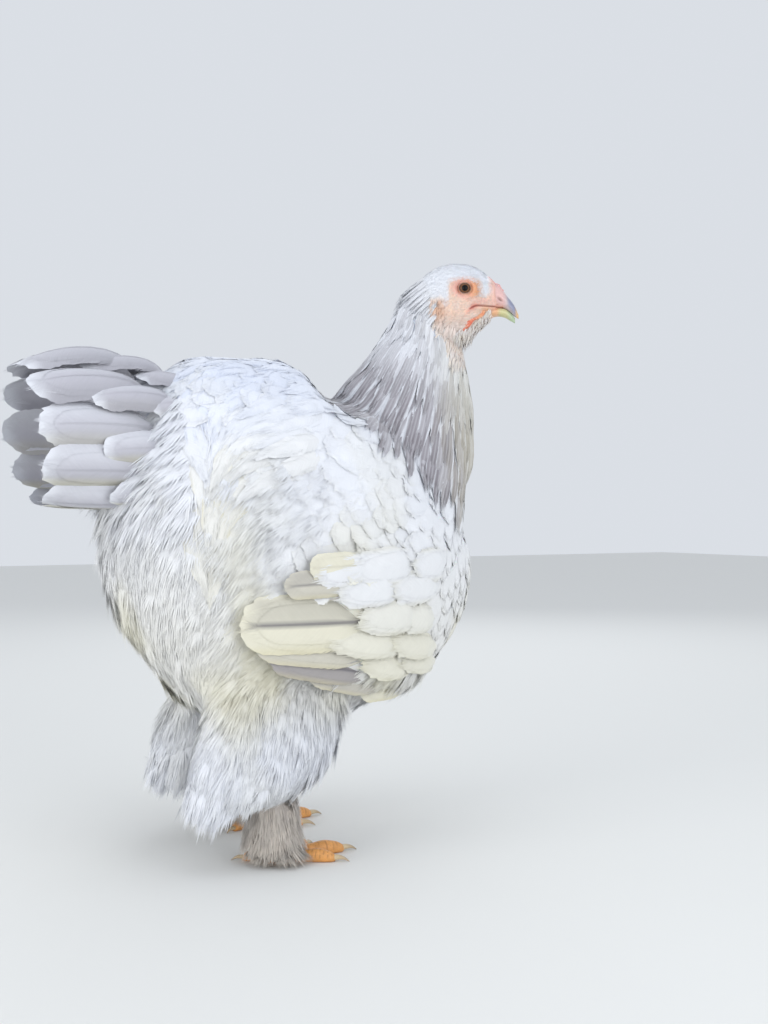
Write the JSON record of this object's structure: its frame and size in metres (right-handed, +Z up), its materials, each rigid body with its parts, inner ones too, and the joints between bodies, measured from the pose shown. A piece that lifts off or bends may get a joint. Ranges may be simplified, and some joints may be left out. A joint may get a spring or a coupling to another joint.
{
  "type": "brahma chicken",
  "caption": "Standing brahma pullet with a ruff of lacy hackle feathers, tented tail, folded wings and feathered legs.",
  "frame": {"origin": "on the floor under the middle of the bird's bounding box", "axes": "+X forward along the body, +Y to the bird's left, +Z up"},
  "size_m": [0.4712, 0.251, 0.545],
  "materials": {
    "body_feathers": "soft white feathers",
    "wing_feathers": "white feathers with cream edges",
    "leg_feathers": "cream-grey feathers",
    "tail_feathers": "pale lavender-grey feathers with paler edges",
    "hackle_feathers": "grey feathers laced with white",
    "face_skin": "pinkish skin under fine white feathers",
    "comb_skin": "matt red skin",
    "beak_horn": "satin horn, blue-grey on the ridge",
    "claw_horn": "satin horn",
    "toe_skin": "orange-yellow scaly skin",
    "eye_surface": "wet and clear, amber-brown iris"
  },
  "bodies": {
    "root": {"breast": "body_feathers", "belly": "body_feathers", "flank": "body_feathers", "vent": "body_feathers", "saddle": "body_feathers", "tail": "tail_feathers", "neck": "hackle_feathers", "head": "face_skin", "comb": "comb_skin", "beak_upper": "beak_horn", "beak_lower": "beak_horn", "wattle_right": "comb_skin", "eye_right": "eye_surface", "wing_right": "wing_feathers", "thigh_right": "body_feathers", "shank_right": "leg_feathers", "foot_right": "toe_skin", "claw_outer_right": "claw_horn", "claw_middle_right": "claw_horn", "claw_inner_right": "claw_horn", "claw_hind_right": "claw_horn", "wattle_left": "comb_skin", "eye_left": "eye_surface", "wing_left": "wing_feathers", "thigh_left": "body_feathers", "shank_left": "leg_feathers", "foot_left": "toe_skin", "claw_outer_left": "claw_horn", "claw_middle_left": "claw_horn", "claw_inner_left": "claw_horn", "claw_hind_left": "claw_horn"}
  },
  "joints": []
}
